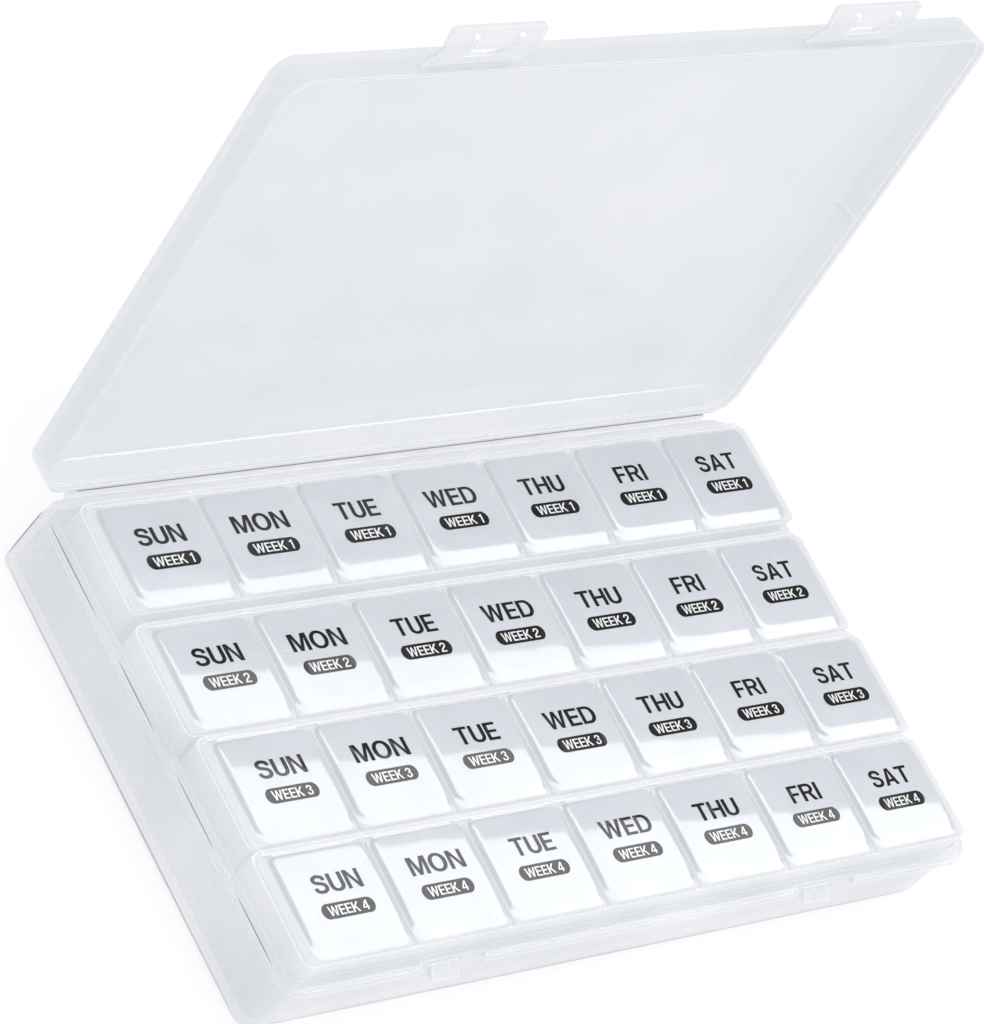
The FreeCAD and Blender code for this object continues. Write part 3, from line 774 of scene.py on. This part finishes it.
# ---------------------------------------------------------------- floor, light, camera
floor_mat = Nodes("floor_paper")
_o = floor_mat.add("ShaderNodeOutputMaterial")
_b = floor_mat.add("ShaderNodeBsdfPrincipled")
_c = floor_mat.add("ShaderNodeTexCoord")
_n = floor_mat.add("ShaderNodeTexNoise", Scale=4.0, Detail=3.0)
floor_mat.link(_c.outputs["Object"], _n.inputs["Vector"])
_r = ramp(floor_mat.add("ShaderNodeValToRGB"), [(0.3, (0.965, 0.966, 0.968)), (0.7, (0.98, 0.981, 0.983))])
floor_mat.link(_n.outputs["Fac"], _r.inputs["Fac"])
_m = floor_mat.add("ShaderNodeMix", data_type="RGBA")
_m.inputs["Factor"].default_value = 0.6
_m.inputs[7].default_value = (0.0, 0.0, 0.0, 1.0)
floor_mat.link(_r.outputs["Color"], _m.inputs[6])
floor_mat.link(_m.outputs[2], _b.inputs["Base Color"])
floor_mat.link(_r.outputs["Color"], _b.inputs["Emission Color"])
_b.inputs["Emission Strength"].default_value = 0.62
_b.inputs["Roughness"].default_value = 0.85
_b.inputs["Specular IOR Level"].default_value = 0.2
floor_mat.link(_b.outputs["BSDF"], _o.inputs["Surface"])
bm = bmesh.new()
bmesh.ops.create_grid(bm, x_segments=4, y_segments=4, size=4.0)
for v in bm.verts:
    v.co.z = -0.0002
floor = new_mesh("floor", bm, floor_mat.mat, smooth=False)

world = bpy.data.worlds.new("studio")
bpy.context.scene.world = world
world.use_nodes = True
wt = world.node_tree
wt.nodes.clear()
wo = wt.nodes.new("ShaderNodeOutputWorld")
wb = wt.nodes.new("ShaderNodeBackground")
wc = wt.nodes.new("ShaderNodeTexCoord")
ws = wt.nodes.new("ShaderNodeSeparateXYZ")
wr = wt.nodes.new("ShaderNodeValToRGB")
ramp(wr, [(0.0, (0.80, 0.81, 0.83)), (0.25, (0.86, 0.87, 0.88)), (1.0, (1.0, 1.0, 1.0))])
wt.links.new(wc.outputs["Generated"], ws.inputs["Vector"])
wt.links.new(ws.outputs["Z"], wr.inputs["Fac"])
wt.links.new(wr.outputs["Color"], wb.inputs["Color"])
wb.inputs["Strength"].default_value = 1.08
wt.links.new(wb.outputs["Background"], wo.inputs["Surface"])


def softbox(name, corner, normal, along, size, strength, side=1.0):
    """Area light whose edge runs through corner in direction along; it lies on the side of that edge."""
    z = -Vector(normal).normalized()          # light shines along -Z of the lamp
    x = Vector(along).normalized()
    y = z.cross(x).normalized() * side
    centre = Vector(corner) + y * size[1] / 2
    la = bpy.data.lights.new(name, "AREA")
    la.shape = "RECTANGLE"
    la.size, la.size_y = size
    area = size[0] * size[1]
    la.energy = strength * math.pi * area
    ob = bpy.data.objects.new(name, la)
    bpy.context.scene.collection.objects.link(ob)
    m = Matrix((x, z.cross(x), z)).transposed().to_4x4()
    ob.matrix_world = Matrix.Translation(centre) @ m
    return ob


# key softbox: its edge is where the lids' reflections begin
R0 = Vector((0.6913190785614021, 0.3474952759408171, 0.6335021427081594)).normalized()
E1 = Vector((0, 0, 1)).cross(R0).normalized()
E2 = R0.cross(E1)
KEY_D = 0.900
KEY_SIDE = -1.0
key_at = Vector((0, -0.001, 0.022)) + R0 * KEY_D + E1 * (-0.0471) + E2 * 0.0383
key = softbox("key", key_at, -R0, E1 * (-0.86) + E2 * (-0.511), (1.7, 1.0), 9.0, side=KEY_SIDE)
key.visible_diffuse = False

# fill softbox, low in front
fill = softbox("fill", (-0.5, -1.1, 0.55), Vector((0.0, 1.1, -0.5)), (1, 0, 0), (1.2, 0.7), 0.9)

# camera, from the fit to the photograph
IMG_R = Vector((0.7163994664658745, -0.443796186725709, 0.5383463096326844))
IMG_D = Vector((-0.09407303579891682, -0.8260096717633122, -0.5557502011596942))
IMG_F = Vector((0.6913190785614021, 0.3474952759408171, -0.6335021427081594))
CAM_AT = Vector((-756.7710429178983, -349.673596500859, 728.6121518211784)) * MM
F_PX, CX, CY = 5899.54919930274, 504.493, 494.038
cam = bpy.data.cameras.new("camera")
co = bpy.data.objects.new("camera", cam)
bpy.context.scene.collection.objects.link(co)
rot = Matrix((IMG_R, -IMG_D, -IMG_F)).transposed().to_4x4()
co.matrix_world = Matrix.Translation(CAM_AT) @ rot
cam.sensor_fit = "AUTO"
cam.sensor_width = 36.0
cam.lens = F_PX * 36.0 / 1024.0
cam.shift_x = (492.0 - CX) / 1024.0
cam.shift_y = (CY - 512.0) / 1024.0
cam.clip_start, cam.clip_end = 0.05, 20.0
bpy.context.scene.camera = co

bpy.context.scene.view_settings.view_transform = "Standard"
bpy.context.scene.view_settings.look = "None"

cy_ = bpy.context.scene.cycles
cy_.max_bounces, cy_.diffuse_bounces, cy_.glossy_bounces, cy_.transparent_max_bounces = 8, 3, 3, 16
